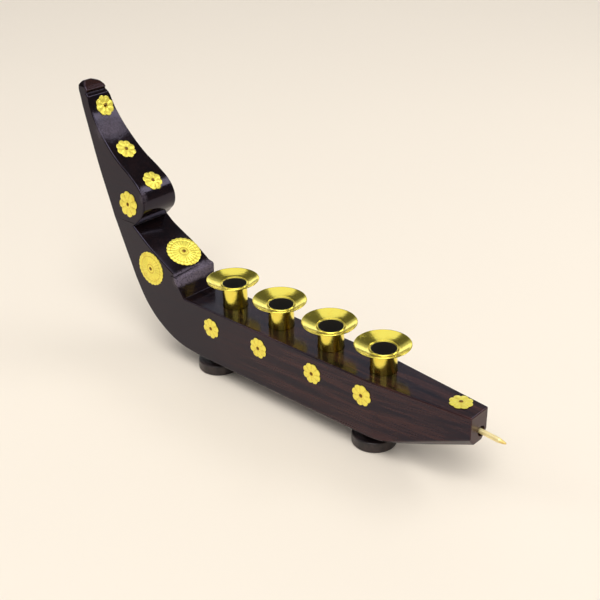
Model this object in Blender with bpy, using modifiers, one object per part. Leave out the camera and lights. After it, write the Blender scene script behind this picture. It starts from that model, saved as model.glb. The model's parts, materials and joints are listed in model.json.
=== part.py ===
"""Boat-shaped incense burner: a rosewood hull, four brass cups that lift out, two turned feet,
a brass bow spike, and brass rosettes that are tacked to the wood.

Metres, +Z up, +X from stern to bow; the near side faces -Y and the far side +Y. The origin is under the
middle of the object, on the table. Sizes are in millimetres; a station counts them from the first cup's
axis, the hull's middle plane and the deck.
"""

import math

import bmesh
import bpy
from mathutils import Matrix, Vector
from mathutils.bvhtree import BVHTree

MM = 0.001

# Frame
FIRST_CUP_X = -34.3 * MM
DECK_Z = 45.5 * MM

# The clearance that every piece keeps from its neighbours, and how far a drill starts outside the wood
GAP = 0.3
DRILL_RUN_IN = 2.0

# Hull
HALF_WIDTH = 13.4
BOW_END = 168.5
BOW_TAPER_FROM = 110.0
BOW_HALF_WIDTH = 7.3
STERN_TAPER_FROM = 36.0
STERN_TOP = 111.2
STERN_HALF_WIDTH = 7.5
HULL_DEPTH = 33.7
CURVE_STEPS = 4
# The ramp is carved a little askew: its far side is higher, and the step's corners lie further out there
RAMP_TWIST = 1.4
RAMP_SPAN = (-62.0, -25.0)
STEP_TOP, STEP_TOP_SKEW = (-31.1, 12.9), 3.1
STEP_BREAK, STEP_BREAK_SKEW = (-29.2, 5.7), 1.1
CORNER_REACH = 0.5
EDGE_ROUND = 0.6
EDGE_ROUND_ABOVE_DEG = 50.0
CORNER, SMOOTH = "VECTOR", "AUTO"

# The side outline, from the bow along the deck, up the stern's front, down its back and along the keel.
SIDE_OUTLINE = (
    (BOW_END, 0.0, CORNER),
    (-26.3, 0.0, CORNER),
    (*STEP_BREAK, CORNER),
    (*STEP_TOP, CORNER),
    (-44.5, 20.6, SMOOTH),
    (-54.0, 25.6, SMOOTH),
    (-61.0, 29.8, SMOOTH),
    (-67.2, 34.2, CORNER),
    (-62.9, 38.3, SMOOTH),
    (-59.2, 42.4, SMOOTH),
    (-57.4, 47.8, SMOOTH),
    (-58.2, 53.2, SMOOTH),
    (-61.6, 58.4, SMOOTH),
    (-68.4, 63.6, SMOOTH),
    (-80.5, 71.0, SMOOTH),
    (-91.0, 80.2, SMOOTH),
    (-98.8, 89.2, SMOOTH),
    (-103.4, 97.0, SMOOTH),
    (-105.4, 103.2, CORNER),
    (-107.4, 104.8, CORNER),
    (-106.2, 106.8, CORNER),
    (-109.5, 110.0, SMOOTH),
    (-112.4, STERN_TOP, SMOOTH),
    (-114.2, 108.6, SMOOTH),
    (-112.6, 101.8, SMOOTH),
    (-106.2, 85.0, SMOOTH),
    (-98.0, 65.0, SMOOTH),
    (-85.4, 38.4, SMOOTH),
    (-73.1, 10.7, SMOOTH),
    (-66.6, -3.2, SMOOTH),
    (-57.9, -16.2, SMOOTH),
    (-45.4, -26.3, SMOOTH),
    (-32.5, -31.8, SMOOTH),
    (-18.0, -HULL_DEPTH, CORNER),
    (114.5, -HULL_DEPTH, CORNER),
    (125.0, -32.2, SMOOTH),
    (BOW_END, -17.3, CORNER),
)

# Pared corners, each a plane through a point with an outward normal
CHINE_FROM = (118.0, 12.6, -33.6)
CHINE_END_SIDE = (BOW_END, BOW_HALF_WIDTH, -12.5)
CHINE_END_KEEL = (BOW_END, 3.3, -17.3)
CAP_FAR_CUT = ((-112.0, -0.6, STERN_TOP), (0.0, 5.2, 6.6))
CAP_NEAR_CUT = ((-112.0, -4.8, STERN_TOP), (0.0, -3.0, 3.2))

# Cups
CUP_SPACING = 36.0
CUP_LINE_Y = 1.2
CUP_RIM_RADIUS = 15.0
CUP_RIM_Z = 15.6
CUP_BORE_RADIUS = 6.6
CUP_TUBE_RADIUS = 7.1
CUP_THROAT_Z = 12.6
CUP_SHEET = 0.6
CUP_BOTTOM_Z = -12.0
CUP_FLOOR = 1.0
CUP_LIP_WIDTH = 1.0
CUP_LIP_DROP = 0.1
CUP_FLARE = 0.9
CUP_NECK = 1.6
CUP_STEPS = 32
# How each cup leans, in degrees towards the bow and towards the far side, and how high it stands
CUP_SEATING = ((-1.6, 0.45, 0.8), (0.5, -0.8, 0.25), (0.0, -0.75, -0.4), (-0.9, -0.35, -0.45))

# Feet
FOOT_STATIONS = (("foot_stern", -13.2), ("foot_bow", 104.6))
FOOT_RADIUS = 12.2
FOOT_DISC = 6.3
FOOT_NECK_RADIUS = 5.2
FOOT_TENON_RADIUS = 3.6
FOOT_TENON = 9.0
FOOT_EDGE = 0.7
FOOT_STEPS = 40
FOOT_SEAT_STEPS = 16

# Bow spike
SPIKE_RADIUS = 1.4
SPIKE_MOUTH_RADIUS = 2.5
SPIKE_MOUTH_DEPTH = 3.0
SPIKE_BURIED = 13.0
SPIKE_OUT = 14.6
SPIKE_TIP = 3.6
SPIKE_BLUNT = 0.2
SPIKE_Y = 2.2
SPIKE_Z = -11.8
SPIKE_PITCH_DEG = 3.5
SPIKE_POINT_SHARE = 0.25
SPIKE_SHOULDER_SHARE = 0.8
SPIKE_STEPS = 16

# Rosettes: radius, petals, outline points a petal, depth of the valleys between petals
SMALL = (6.15, 8, 4, 0.14)
MIDDLE = (7.9, 8, 4, 0.14)
LARGE = (10.5, 12, 3, 0.03)
ROSETTE_SHEET = 0.35
ROSETTE_CROWN = 0.35
# The wood under a rosette is probed this densely, and this far above and below its own plane
PROBE_RINGS = 20
PROBE_TURNS = 48
PROBE_REACH = 4.0
# Where they sit: name, kind, a point just off the wood (station, y, z)
FRONT_ROSETTES = (
    ("rosette_cap", SMALL, (-99.4, 1.5, 97.9)),
    ("rosette_scoop", SMALL, (-81.5, -0.2, 77.5)),
    ("rosette_lobe", SMALL, (-60.5, 0.4, 62.5)),
    ("rosette_ramp", LARGE, (-40.5, 2.4, 23.0)),
    ("rosette_bow", SMALL, (156.4, 1.4, 3.0)),
)
SIDE_ROSETTES = (
    ("rosette_curl", MIDDLE, (-70.8, 47.3)),
    ("rosette_haunch", LARGE, (-53.6, 11.1)),
    ("rosette_side_1", SMALL, (-4.3, -11.2)),
    ("rosette_side_2", SMALL, (33.0, -9.9)),
    ("rosette_side_3", SMALL, (72.3, -10.4)),
    ("rosette_side_4", SMALL, (106.0, -9.9)),
)

# Tacks
TACK_HEAD_RADIUS = 1.0
TACK_HEAD = 0.45
TACK_SHANK_RADIUS = 0.45
TACK_DOME = (0.7, 0.8)
TACK_SHANK = 4.0
TACK_POINT = 1.0
TACK_STEPS = 8

ROSEWOOD = ("rosewood", (0.045, 0.03, 0.034), 0.0, 0.22)
TURNED_WOOD = ("turned_wood", (0.05, 0.034, 0.03), 0.0, 0.4)
CUP_BRASS = ("cup_brass", (0.83, 0.64, 0.16), 1.0, 0.16)
ROSETTE_BRASS = ("rosette_brass", (0.95, 0.78, 0.12), 1.0, 0.3)
TACK_METAL = ("tack_metal", (0.35, 0.22, 0.06), 1.0, 0.45)
SPIKE_BRASS = ("spike_brass", (0.9, 0.68, 0.25), 1.0, 0.25)


def clear_scene():
    for item in list(bpy.data.objects):
        bpy.data.objects.remove(item, do_unlink=True)


def collection(name):
    made = bpy.data.collections.new(name)
    bpy.context.scene.collection.children.link(made)
    return made


def material(name, colour, metallic, roughness):
    made = bpy.data.materials.get(name) or bpy.data.materials.new(name)
    made.use_nodes = True
    shader = made.node_tree.nodes["Principled BSDF"]
    shader.inputs["Base Color"].default_value = (*colour, 1.0)
    shader.inputs["Metallic"].default_value = metallic
    shader.inputs["Roughness"].default_value = roughness
    made.diffuse_color = (*colour, 1.0)
    return made


def station(x, y, z):
    """A point given in millimetres from the first cup's axis and the deck, in metres in the frame."""
    return Vector((FIRST_CUP_X + x * MM, y * MM, DECK_Z + z * MM))


def add_object(name, mesh, group, finish=None, place=None):
    made = bpy.data.objects.new(name, mesh)
    group.objects.link(made)
    if finish:
        mesh.materials.clear()
        mesh.materials.append(material(*finish))
    if place:
        made.matrix_world = place
    return made


def mesh_from_bmesh(name, bm):
    bmesh.ops.recalc_face_normals(bm, faces=bm.faces)
    mesh = bpy.data.meshes.new(name)
    bm.to_mesh(mesh)
    bm.free()
    return mesh


def facing(normal, point):
    """A frame at point whose Z axis is normal."""
    turn = Vector((0.0, 0.0, 1.0)).rotation_difference(normal).to_matrix().to_4x4()
    return Matrix.Translation(point) @ turn


def turned(name, profile, steps, group, finish, place):
    """A solid turned about its own Z axis. The profile runs down its outer side, in millimetres."""
    mesh = bpy.data.meshes.new(name)
    points = [(radius * MM, 0.0, height * MM) for radius, height in profile]
    mesh.from_pydata(points, [(i, i + 1) for i in range(len(points) - 1)], [])
    made = add_object(name, mesh, group, finish, place)
    screw = made.modifiers.new("turn", "SCREW")
    screw.axis = "Z"
    screw.steps = steps
    screw.render_steps = steps
    screw.use_merge_vertices = True
    screw.merge_threshold = 0.00001
    screw.use_smooth_shade = True
    return made


def side_curve(group):
    """The hull's side outline as a filled curve, extruded to the full width."""
    curve = bpy.data.curves.new("hull_outline", "CURVE")
    curve.dimensions = "2D"
    curve.fill_mode = "BOTH"
    curve.extrude = HALF_WIDTH * MM
    curve.resolution_u = CURVE_STEPS
    spline = curve.splines.new("BEZIER")
    spline.bezier_points.add(len(SIDE_OUTLINE) - 1)
    spline.use_cyclic_u = True
    for point, (x, z, kind) in zip(spline.bezier_points, SIDE_OUTLINE):
        point.co = (FIRST_CUP_X + x * MM, DECK_Z + z * MM, 0.0)
        point.handle_left_type = kind
        point.handle_right_type = kind
    made = bpy.data.objects.new("hull_outline", curve)
    group.objects.link(made)
    made.rotation_euler = (math.pi / 2.0, 0.0, 0.0)
    bpy.context.view_layer.update()
    return made


def half_width_share(x, z):
    """How much of the full width the hull keeps at a station, by its height and its length."""
    share = 1.0
    if z > STERN_TAPER_FROM:
        along = (z - STERN_TAPER_FROM) / (STERN_TOP - STERN_TAPER_FROM)
        share = 1.0 - along * (1.0 - STERN_HALF_WIDTH / HALF_WIDTH)
    if x > BOW_TAPER_FROM:
        along = (x - BOW_TAPER_FROM) / (BOW_END - BOW_TAPER_FROM)
        share = 1.0 - along * (1.0 - BOW_HALF_WIDTH / HALF_WIDTH)
    return share


def cut(bm, point, normal, remove=False):
    """Cuts every face along a plane. With remove, what lies outside goes and the cut is closed."""
    geometry = bm.verts[:] + bm.edges[:] + bm.faces[:]
    bmesh.ops.bisect_plane(
        bm, geom=geometry, dist=1e-7, plane_co=point, plane_no=normal, clear_outer=remove
    )
    if remove:
        rim = [edge for edge in bm.edges if edge.is_boundary]
        bmesh.ops.holes_fill(bm, edges=rim, sides=0)


def chine_plane(side):
    """The plane that pares the keel's corner towards the bow, on one side of the hull."""
    a, b, c = (station(x, side * y, z) for x, y, z in (CHINE_FROM, CHINE_END_SIDE, CHINE_END_KEEL))
    normal = (b - a).cross(c - a).normalized()
    return a, normal if normal.z < 0.0 else -normal


def hull_body(parts, guides):
    """The carved wooden body, before its holes."""
    outline = side_curve(guides)
    mesh = bpy.data.meshes.new_from_object(outline.evaluated_get(bpy.context.evaluated_depsgraph_get()))
    mesh.transform(outline.matrix_world)
    bpy.data.objects.remove(outline, do_unlink=True)
    bm = bmesh.new()
    bm.from_mesh(mesh)
    bmesh.ops.remove_doubles(bm, verts=bm.verts, dist=0.00001)
    cut(bm, station(BOW_TAPER_FROM, 0.0, 0.0), Vector((1.0, 0.0, 0.0)))
    cut(bm, station(0.0, 0.0, STERN_TAPER_FROM), Vector((0.0, 0.0, 1.0)))
    for vert in bm.verts:
        x = (vert.co.x - FIRST_CUP_X) / MM
        z = (vert.co.z - DECK_Z) / MM
        aside = vert.co.y / (HALF_WIDTH * MM)
        if RAMP_SPAN[0] < x < RAMP_SPAN[1] and STEP_BREAK[1] + CORNER_REACH < z < STERN_TAPER_FROM:
            along = (x - RAMP_SPAN[0]) / (RAMP_SPAN[1] - RAMP_SPAN[0])
            vert.co.z += RAMP_TWIST * MM * aside * math.sin(math.pi * along)
        for corner, skew in ((STEP_TOP, STEP_TOP_SKEW), (STEP_BREAK, STEP_BREAK_SKEW)):
            if math.hypot(x - corner[0], z - corner[1]) < CORNER_REACH:
                vert.co.x += skew * MM * aside
        vert.co.y *= half_width_share(x, z)
    for side in (-1.0, 1.0):
        cut(bm, *chine_plane(side), remove=True)
    for point, normal in (CAP_FAR_CUT, CAP_NEAR_CUT):
        cut(bm, station(*point), Vector(normal).normalized(), remove=True)
    bm.to_mesh(mesh)
    bm.free()
    mesh.name = "hull"
    return add_object("hull", mesh, parts, ROSEWOOD)


def surface_height(tree, place, x, y):
    """How far the wood stands above a frame's XY plane at (x, y) of that frame."""
    reach = PROBE_REACH * MM
    start = place @ Vector((x, y, reach))
    down = -place.col[2].to_3d()
    hit, _, _, distance = tree.ray_cast(start, down, 2.0 * reach)
    return reach - distance if hit else -reach


def rosette_frame(tree, near_point, kind):
    """Where a rosette's back lies: square to the wood, and clear of it all round."""
    radius = kind[0] * MM
    foot, normal, _, _ = tree.find_nearest(near_point)
    place = facing(normal, foot)
    rise = max(
        surface_height(tree, place, share * radius * math.cos(turn), share * radius * math.sin(turn))
        for share in (i / PROBE_RINGS for i in range(1, PROBE_RINGS + 1))
        for turn in (i * math.tau / PROBE_TURNS for i in range(PROBE_TURNS))
    )
    return place @ Matrix.Translation((0.0, 0.0, max(0.0, rise) + GAP * MM))


def rosette_mesh(name, kind):
    """A stamped flower: a scalloped sheet with a raised middle and a hole for its tack."""
    radius, petals, points, valley = kind
    hole = (TACK_SHANK_RADIUS + GAP) * MM
    bm = bmesh.new()
    ring = bmesh.ops.create_circle(bm, segments=petals * points, radius=hole)["verts"]
    for vert in ring:
        vert.co.z = ROSETTE_CROWN * MM
    edges = list({edge for vert in ring for edge in vert.link_edges})
    grown = bmesh.ops.extrude_edge_only(bm, edges=edges)["geom"]
    for vert in (item for item in grown if isinstance(item, bmesh.types.BMVert)):
        angle = math.atan2(vert.co.y, vert.co.x)
        reach = radius * (1.0 - valley * (1.0 - abs(math.cos(angle * petals / 2.0))))
        vert.co = Vector((math.cos(angle), math.sin(angle), 0.0)) * (reach * MM)
    for face in bm.faces:
        face.normal_update()
        if face.normal.z < 0.0:
            face.normal_flip()
    mesh = bpy.data.meshes.new(name)
    bm.to_mesh(mesh)
    bm.free()
    return mesh


def rosette(name, kind, place, parts):
    made = add_object(name, rosette_mesh(name, kind), parts, ROSETTE_BRASS, place)
    sheet = made.modifiers.new("sheet", "SOLIDIFY")
    sheet.thickness = ROSETTE_SHEET * MM
    sheet.offset = 1.0
    return made


def tack(name, place, parts):
    """A round-headed tack that stands in a rosette's frame, its head clear of the stamped sheet."""
    under = ROSETTE_CROWN + ROSETTE_SHEET + GAP
    profile = (
        (0.0, under + TACK_HEAD),
        (TACK_HEAD_RADIUS * TACK_DOME[0], under + TACK_HEAD * TACK_DOME[1]),
        (TACK_HEAD_RADIUS, under),
        (TACK_SHANK_RADIUS, under),
        (TACK_SHANK_RADIUS, -TACK_SHANK),
        (0.0, -TACK_SHANK - TACK_POINT),
    )
    return turned(name, profile, TACK_STEPS, parts, TACK_METAL, place)


def cup_frame(index):
    """A cup's frame: origin on its axis at deck level, Z axis up along its lean."""
    to_bow, to_far, stand = CUP_SEATING[index]
    up = Vector((math.tan(math.radians(to_bow)), math.tan(math.radians(to_far)), 1.0)).normalized()
    return facing(up, station(index * CUP_SPACING, CUP_LINE_Y, stand))


def cup(index, parts):
    """A thin tube with a closed bottom and a wide shallow funnel round its mouth."""
    lip = CUP_SHEET * 0.5
    profile = (
        (0.0, CUP_BOTTOM_Z + CUP_FLOOR),
        (CUP_BORE_RADIUS, CUP_BOTTOM_Z + CUP_FLOOR),
        (CUP_BORE_RADIUS, CUP_THROAT_Z - lip),
        (CUP_BORE_RADIUS + lip, CUP_THROAT_Z),
        (CUP_RIM_RADIUS - CUP_LIP_WIDTH, CUP_RIM_Z - CUP_LIP_DROP),
        (CUP_RIM_RADIUS - lip, CUP_RIM_Z),
        (CUP_RIM_RADIUS, CUP_RIM_Z - lip),
        (CUP_RIM_RADIUS - lip, CUP_RIM_Z - CUP_SHEET),
        (CUP_RIM_RADIUS - CUP_LIP_WIDTH, CUP_RIM_Z - CUP_LIP_DROP - CUP_SHEET),
        (CUP_TUBE_RADIUS + CUP_FLARE, CUP_THROAT_Z - CUP_SHEET),
        (CUP_TUBE_RADIUS, CUP_THROAT_Z - CUP_NECK),
        (CUP_TUBE_RADIUS, CUP_BOTTOM_Z),
        (0.0, CUP_BOTTOM_Z),
    )
    return turned(f"cup_{index + 1}", profile, CUP_STEPS, parts, CUP_BRASS, cup_frame(index))


def foot(name, at_station, parts):
    """A turned disc on a neck, with a tenon up into the hull."""
    neck_top = DECK_Z / MM - HULL_DEPTH - GAP
    profile = (
        (0.0, neck_top + FOOT_TENON),
        (FOOT_TENON_RADIUS, neck_top + FOOT_TENON),
        (FOOT_TENON_RADIUS, neck_top),
        (FOOT_NECK_RADIUS, neck_top),
        (FOOT_NECK_RADIUS, FOOT_DISC),
        (FOOT_RADIUS - FOOT_EDGE, FOOT_DISC),
        (FOOT_RADIUS, FOOT_DISC - FOOT_EDGE),
        (FOOT_RADIUS, FOOT_EDGE),
        (FOOT_RADIUS - FOOT_EDGE, 0.0),
        (0.0, 0.0),
    )
    place = Matrix.Translation((FIRST_CUP_X + at_station * MM, 0.0, 0.0))
    return turned(name, profile, FOOT_STEPS, parts, TURNED_WOOD, place)


def spike_frame():
    """Origin at the mouth of the spike's hole, Z axis out along the spike."""
    pitch = math.radians(SPIKE_PITCH_DEG)
    out = Vector((math.cos(pitch), 0.0, -math.sin(pitch)))
    return facing(out, station(BOW_END, SPIKE_Y, SPIKE_Z))


def spike(parts):
    profile = (
        (0.0, SPIKE_OUT),
        (SPIKE_RADIUS * SPIKE_POINT_SHARE, SPIKE_OUT - SPIKE_BLUNT),
        (SPIKE_RADIUS * SPIKE_SHOULDER_SHARE, SPIKE_OUT - SPIKE_TIP),
        (SPIKE_RADIUS, SPIKE_OUT - SPIKE_TIP),
        (SPIKE_RADIUS, -SPIKE_BURIED),
        (0.0, -SPIKE_BURIED),
    )
    return turned("bow_spike", profile, SPIKE_STEPS, parts, SPIKE_BRASS, spike_frame())


def drill(bm, place, radius, top, bottom, sides):
    """A closed cylinder between two heights of a frame, in millimetres."""
    middle = Matrix.Translation((0.0, 0.0, (top + bottom) / 2.0 * MM))
    bmesh.ops.create_cone(
        bm, cap_ends=True, segments=sides, radius1=radius * MM, radius2=radius * MM,
        depth=(top - bottom) * MM, matrix=place @ middle,
    )


def drilled_seats(guides):
    """Everything that is bored out of the hull for the cups, the feet and the spike."""
    bm = bmesh.new()
    for index in range(len(CUP_SEATING)):
        drill(bm, cup_frame(index), CUP_TUBE_RADIUS + GAP, DRILL_RUN_IN, CUP_BOTTOM_Z - GAP, CUP_STEPS)
    for _, at_station in FOOT_STATIONS:
        bottom = facing(Vector((0.0, 0.0, 1.0)), station(at_station, 0.0, -HULL_DEPTH))
        drill(bm, bottom, FOOT_TENON_RADIUS + GAP, FOOT_TENON + GAP, -DRILL_RUN_IN, FOOT_SEAT_STEPS)
    return add_object("seat_cutter", mesh_from_bmesh("seat_cutter", bm), guides)


def spike_hole(guides):
    bm = bmesh.new()
    drill(bm, spike_frame(), SPIKE_MOUTH_RADIUS, DRILL_RUN_IN, -SPIKE_MOUTH_DEPTH, SPIKE_STEPS)
    mouth = add_object("spike_mouth_cutter", mesh_from_bmesh("spike_mouth_cutter", bm), guides)
    bm = bmesh.new()
    drill(bm, spike_frame(), SPIKE_RADIUS + GAP, -SPIKE_MOUTH_DEPTH / 2.0, -SPIKE_BURIED - GAP, SPIKE_STEPS)
    bore = add_object("spike_bore_cutter", mesh_from_bmesh("spike_bore_cutter", bm), guides)
    return mouth, bore


def tack_holes(frames, guides):
    bm = bmesh.new()
    for place in frames:
        drill(bm, place, TACK_SHANK_RADIUS + GAP, DRILL_RUN_IN, -TACK_SHANK - TACK_POINT - GAP, TACK_STEPS)
    return add_object("tack_cutter", mesh_from_bmesh("tack_cutter", bm), guides)


def subtract(target, cutter):
    cutter.hide_render = True
    cutter.display_type = "WIRE"
    hole = target.modifiers.new(cutter.name, "BOOLEAN")
    hole.operation = "DIFFERENCE"
    hole.object = cutter


def place_rosettes(hull, parts):
    """Sets every rosette on the wood with its tack, and returns their frames."""
    bm = bmesh.new()
    bm.from_mesh(hull.data)
    bmesh.ops.triangulate(bm, faces=bm.faces)
    tree = BVHTree.FromBMesh(bm)
    bm.free()
    wanted = list(FRONT_ROSETTES)
    for side, label in ((-1.0, "near"), (1.0, "far")):
        for name, kind, (x, z) in SIDE_ROSETTES:
            wanted.append((f"{name}_{label}", kind, (x, side * (HALF_WIDTH + PROBE_REACH), z)))
    frames = []
    for name, kind, point in wanted:
        place = rosette_frame(tree, station(*point), kind)
        rosette(name, kind, place, parts)
        tack(name.replace("rosette", "tack"), place, parts)
        frames.append(place)
    return frames


def main():
    clear_scene()
    parts = collection("incense_burner")
    guides = collection("cutters")
    hull = hull_body(parts, guides)
    frames = place_rosettes(hull, parts)
    rounding = hull.modifiers.new("edges", "BEVEL")
    rounding.width = EDGE_ROUND * MM
    rounding.segments = 1
    rounding.limit_method = "ANGLE"
    rounding.angle_limit = math.radians(EDGE_ROUND_ABOVE_DEG)
    for index in range(len(CUP_SEATING)):
        cup(index, parts)
    for name, at_station in FOOT_STATIONS:
        foot(name, at_station, parts)
    spike(parts)
    for cutter in (drilled_seats(guides), *spike_hole(guides), tack_holes(frames, guides)):
        subtract(hull, cutter)
    bpy.context.view_layer.update()


main()
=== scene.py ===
"""Looks of the boat-shaped incense burner: lacquered rosewood, spun brass cups, stamped brass flowers.

Metres, +Z up, +X from stern to bow; the near side faces -Y and the far side +Y. Sizes of pieces are in
millimetres. A station counts millimetres from the first cup's axis, the hull's middle plane and the deck.
"""

import json
import logging
import math
from dataclasses import dataclass, field
from enum import Enum
from typing import Iterable, Sequence

import bmesh
import bpy
from mathutils import Matrix, Vector, noise
from mathutils.bvhtree import BVHTree


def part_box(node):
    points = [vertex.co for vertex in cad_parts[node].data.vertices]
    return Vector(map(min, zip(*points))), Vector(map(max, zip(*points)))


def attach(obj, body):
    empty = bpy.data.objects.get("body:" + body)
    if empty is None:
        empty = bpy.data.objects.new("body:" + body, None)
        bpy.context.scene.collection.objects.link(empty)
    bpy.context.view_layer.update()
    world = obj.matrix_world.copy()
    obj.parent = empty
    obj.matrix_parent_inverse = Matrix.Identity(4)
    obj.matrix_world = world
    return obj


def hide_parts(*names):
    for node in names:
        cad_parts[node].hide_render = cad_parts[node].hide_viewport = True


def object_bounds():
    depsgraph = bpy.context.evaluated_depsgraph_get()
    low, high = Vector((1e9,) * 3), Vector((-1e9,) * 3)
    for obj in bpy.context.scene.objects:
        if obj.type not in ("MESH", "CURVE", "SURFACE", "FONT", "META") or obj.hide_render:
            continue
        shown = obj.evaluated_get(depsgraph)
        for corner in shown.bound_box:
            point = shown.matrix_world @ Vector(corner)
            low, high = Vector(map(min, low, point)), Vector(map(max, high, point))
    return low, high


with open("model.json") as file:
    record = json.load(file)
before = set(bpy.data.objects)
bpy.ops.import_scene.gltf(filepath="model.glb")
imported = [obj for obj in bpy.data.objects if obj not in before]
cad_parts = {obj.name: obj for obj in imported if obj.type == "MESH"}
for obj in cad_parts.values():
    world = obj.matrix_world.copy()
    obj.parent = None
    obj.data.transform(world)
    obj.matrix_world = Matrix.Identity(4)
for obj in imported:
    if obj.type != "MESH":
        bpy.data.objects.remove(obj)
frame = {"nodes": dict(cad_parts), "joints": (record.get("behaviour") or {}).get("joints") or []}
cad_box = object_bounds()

log = logging.getLogger("incense_burner")

MM = 0.001
STAND = "stand"
Colour = tuple[float, float, float]
Triple = tuple[float, float, float]
Profile = Sequence[tuple[float, float]]


# ---------------------------------------------------------------------------------------------- geometry


@dataclass(frozen=True)
class Datum:
    """Where stations are counted from.

    Attributes:
        first_cup_x: The first cup's axis along the hull, in metres.
        deck_z: The deck's height above the table, in metres.
    """

    first_cup_x: float
    deck_z: float

    @classmethod
    def of_hull(cls, bow_end: float, hull_depth: float) -> "Datum":
        """Finds the datum from the hull's box.

        Args:
            bow_end: Station of the bow's end face.
            hull_depth: Depth of the hull under the deck.

        Returns:
            The datum.
        """
        low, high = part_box("hull")
        return cls(high.x - bow_end * MM, low.z + hull_depth * MM)

    def point(self, x: float, y: float, z: float) -> Vector:
        """Returns a station as a point in metres."""
        return Vector((self.first_cup_x + x * MM, y * MM, self.deck_z + z * MM))

    def station(self, point: Vector) -> Vector:
        """Returns a point in metres as a station."""
        return Vector((point.x - self.first_cup_x, point.y, point.z - self.deck_z)) / MM


def ease(value: float) -> float:
    """Returns a share from 0 to 1 with soft ends."""
    share = min(1.0, max(0.0, value))
    return share * share * (3.0 - 2.0 * share)


def hump(value: float, width: float) -> float:
    """Returns a bell curve of a value, 1 at 0."""
    return math.exp(-((value / width) ** 2))


def facing(normal: Vector, point: Vector) -> Matrix:
    """Makes a frame at a point with its Z axis along a normal.

    Args:
        normal: Direction of the Z axis.
        point: Where the frame sits.

    Returns:
        The frame's matrix.
    """
    turn = Vector((0.0, 0.0, 1.0)).rotation_difference(normal).to_matrix().to_4x4()
    return Matrix.Translation(point) @ turn


def node_points(node: str) -> list[Vector]:
    """Returns the vertices of a CAD node."""
    return [vertex.co.copy() for vertex in frame["nodes"][node].data.vertices]


def middle(points: Sequence[Vector]) -> Vector:
    """Returns the mean of some points, each place counted once."""
    places = {tuple(round(number, 6) for number in point) for point in points}
    return sum((Vector(place) for place in places), Vector()) / len(places)


def seat(points: Sequence[Vector], normal: Vector, height: float) -> Matrix:
    """Finds the frame of a round part from its points.

    Args:
        points: The part's points.
        normal: Direction of its axis.
        height: Height of its lowest point in the frame, in metres.

    Returns:
        The frame, with its Z axis along the normal through the part's middle.
    """
    turn = facing(normal, Vector())
    local = [turn.inverted() @ point for point in points]
    centre = middle(local)
    lowest = min(point.z for point in local)
    return turn @ Matrix.Translation((centre.x, centre.y, lowest - height))


def spun(profile: Profile, steps: int) -> bmesh.types.BMesh:
    """Turns a profile about the Z axis.

    Args:
        profile: Points of radius and height, in millimetres.
        steps: Number of steps in a full turn.

    Returns:
        The turned surface, in metres.
    """
    bm = bmesh.new()
    line = [bm.verts.new((radius * MM, 0.0, height * MM)) for radius, height in profile]
    edges = [bm.edges.new(pair) for pair in zip(line, line[1:])]
    bmesh.ops.spin(
        bm,
        geom=line + edges,
        cent=(0.0, 0.0, 0.0),
        axis=(0.0, 0.0, 1.0),
        dvec=(0.0, 0.0, 0.0),
        angle=math.tau,
        steps=steps,
        use_merge=True,
        use_duplicate=False,
    )
    bmesh.ops.remove_doubles(bm, verts=bm.verts, dist=1e-7)
    bmesh.ops.recalc_face_normals(bm, faces=bm.faces)
    return bm


def fillet(corners: Sequence[tuple[float, float, float]], steps: int = 6) -> list[tuple[float, float]]:
    """Rounds the corners of a profile.

    Args:
        corners: Radius and height of each corner, and how much of it is rounded.
        steps: Points in each rounding.

    Returns:
        The profile's points.
    """
    made: list[tuple[float, float]] = []
    for index, (radius, height, cut) in enumerate(corners):
        if cut <= 0.0 or index in (0, len(corners) - 1):
            made.append((radius, height))
            continue
        here = Vector((radius, height))
        before = Vector(corners[index - 1][:2])
        after = Vector(corners[index + 1][:2])
        start = here + (before - here).normalized() * cut
        end = here + (after - here).normalized() * cut
        for step in range(steps + 1):
            share = step / steps
            point = start.lerp(here, share).lerp(here.lerp(end, share), share)
            made.append((point.x, point.y))
    return made


def linked(name: str, bm: bmesh.types.BMesh) -> bpy.types.Object:
    """Makes a scene object of a bmesh, which is freed.

    Args:
        name: The object's name.
        bm: Its mesh, in metres.

    Returns:
        The object.
    """
    mesh = bpy.data.meshes.new(name)
    bm.to_mesh(mesh)
    bm.free()
    made = bpy.data.objects.new(name, mesh)
    bpy.context.scene.collection.objects.link(made)
    return made


class Piece:
    """A finished mesh of the object, with its place in its vertices."""

    def __init__(self, name: str, bm: bmesh.types.BMesh, material: bpy.types.Material) -> None:
        """Makes the object of a bmesh, which is freed.

        Args:
            name: The piece's name.
            bm: Its mesh, in metres in the frame.
            material: Its finish.
        """
        self.item = linked(name, bm)
        self.item.data.materials.append(material)
        self.item.data.shade_smooth()

    def crease(self, degrees: float) -> "Piece":
        """Keeps edges sharper than an angle crisp, and evens the shading of flat faces."""
        self.item.data.set_sharp_from_angle(angle=math.radians(degrees))
        even = self.item.modifiers.new("even_normals", "WEIGHTED_NORMAL")
        even.keep_sharp = True
        even.weight = 80
        return self

    def install(self, body: str, slot: str, *nodes: str) -> "Piece":
        """Puts the piece on its body in place of CAD nodes.

        Args:
            body: The body that it rides on.
            slot: The record's material slot; not used.
            *nodes: The CAD nodes that it stands for.

        Returns:
            The piece.
        """
        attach(self.item, body)
        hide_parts(*nodes)
        log.info("%s: %d faces on %s", self.item.name, len(self.item.data.polygons), body)
        return self


# ----------------------------------------------------------------------------------------------- shaders


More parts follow.
